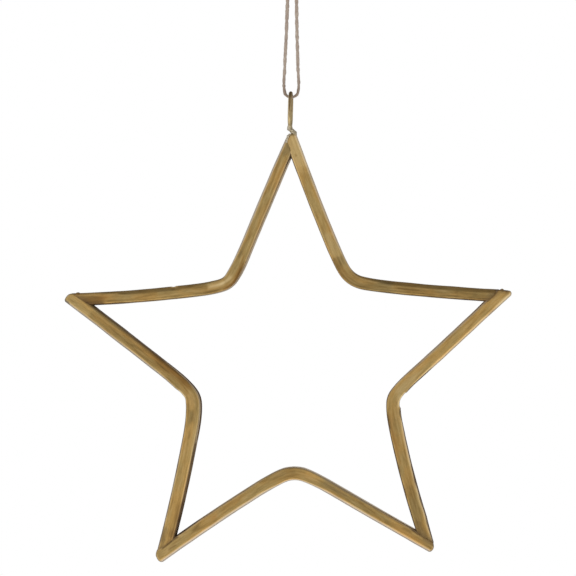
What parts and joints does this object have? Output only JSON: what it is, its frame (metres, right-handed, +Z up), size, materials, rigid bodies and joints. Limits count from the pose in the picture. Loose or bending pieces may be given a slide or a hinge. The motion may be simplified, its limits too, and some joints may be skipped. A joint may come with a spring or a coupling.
{
  "type": "open frame star ornament",
  "caption": "Five-pointed open frame star of bent square brass bar, hung by a wire eye on its top point from a loop of jute twine.",
  "frame": {"origin": "inside top of the twine loop, just under its knot, where a hook carries the ornament, halfway through the bar's depth", "axes": "+Z up along the twine, -Y out of the star's front, +X to the right as the front is seen"},
  "size_m": [0.1613, 0.008, 0.2434],
  "materials": {
    "brass": "aged satin with dark patina on the sides",
    "eye_brass": "dull, with a paler brazed foot",
    "jute_twine": "matt, slightly hairy"
  },
  "bodies": {
    "root": {"bar_upper_right": "brass", "bar_lower_right": "brass", "bar_bottom": "brass", "bar_lower_left": "brass", "bar_upper_left": "brass", "hanging_eye": "eye_brass", "twine_loop": "jute_twine", "twine_knot": "jute_twine"}
  },
  "joints": []
}
